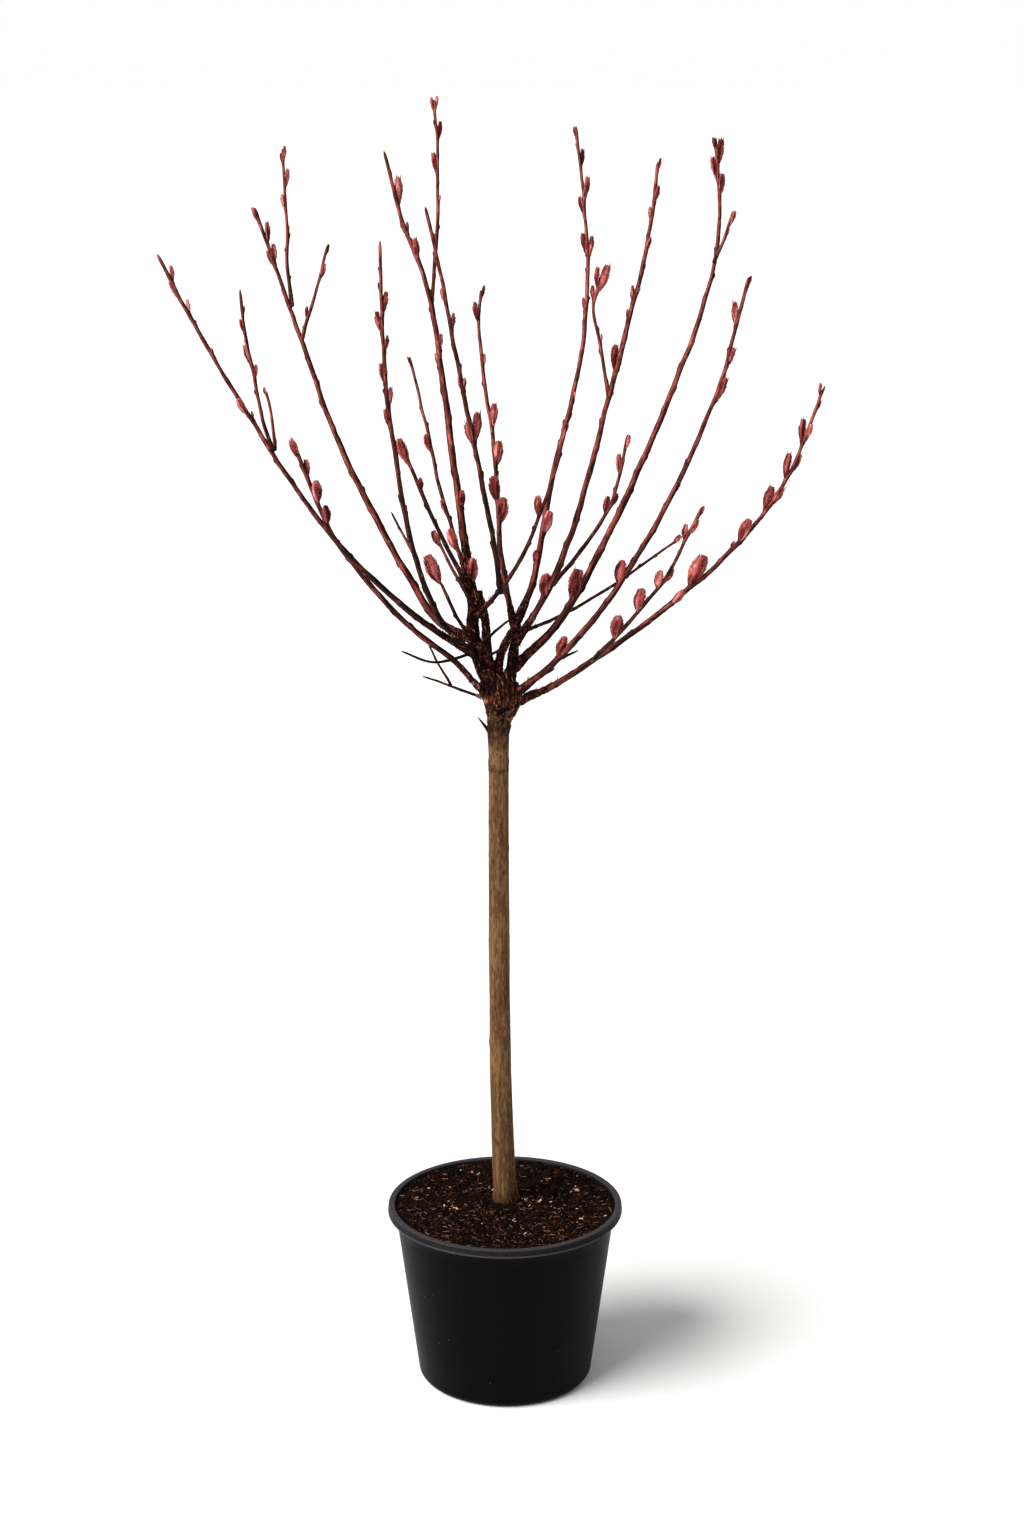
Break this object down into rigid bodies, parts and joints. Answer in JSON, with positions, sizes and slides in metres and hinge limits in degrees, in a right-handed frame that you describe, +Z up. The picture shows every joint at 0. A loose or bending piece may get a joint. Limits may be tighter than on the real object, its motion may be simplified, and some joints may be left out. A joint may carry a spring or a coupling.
{
  "type": "potted pussy willow",
  "caption": "Young pussy willow grown as a small standard: bare stem, open crown of long shoots with pink-red catkins, in a round black nursery pot.",
  "frame": {"origin": "centre of the pot's flat underside", "axes": "+Z up along the stem, -Y the side that faces the viewer in the reference view, +X to that viewer's right"},
  "size_m": [0.6822, 0.4732, 1.3928],
  "materials": {
    "pot": "satin black moulded plastic",
    "compost": "moist crumbly compost with bark chips",
    "bark": "smooth olive-brown bark",
    "bough_bark": "reddish-brown bark with a slight gloss",
    "twigs": "reddish twigs with downy catkins"
  },
  "bodies": {
    "root": {"bough_left_arc": "bough_bark", "bough_left_high": "bough_bark", "bough_left_inner": "bough_bark", "bough_left_low": "bough_bark", "bough_middle_back": "bough_bark", "bough_middle_cross": "bough_bark", "bough_middle_front": "bough_bark", "bough_middle_left": "bough_bark", "bough_right_arc": "bough_bark", "bough_right_high": "bough_bark", "bough_right_inner": "bough_bark", "bough_right_mid": "bough_bark", "bough_right_outer": "bough_bark", "bough_right_tall": "bough_bark", "bough_right_thin": "bough_bark", "compost": "compost", "pot": "pot", "trunk": "bark", "twigs_left_arc": "twigs", "twigs_left_back": "twigs", "twigs_left_front": "twigs", "twigs_left_high": "twigs", "twigs_left_inner": "twigs", "twigs_left_low": "twigs", "twigs_left_short": "twigs", "twigs_left_spur": "twigs", "twigs_middle_back": "twigs", "twigs_middle_cross": "twigs", "twigs_middle_front": "twigs", "twigs_middle_left": "twigs", "twigs_right_arc": "twigs", "twigs_right_arc_fork": "twigs", "twigs_right_high": "twigs", "twigs_right_inner": "twigs", "twigs_right_mid": "twigs", "twigs_right_outer": "twigs", "twigs_right_tall": "twigs", "twigs_right_thin": "twigs"}
  },
  "joints": []
}
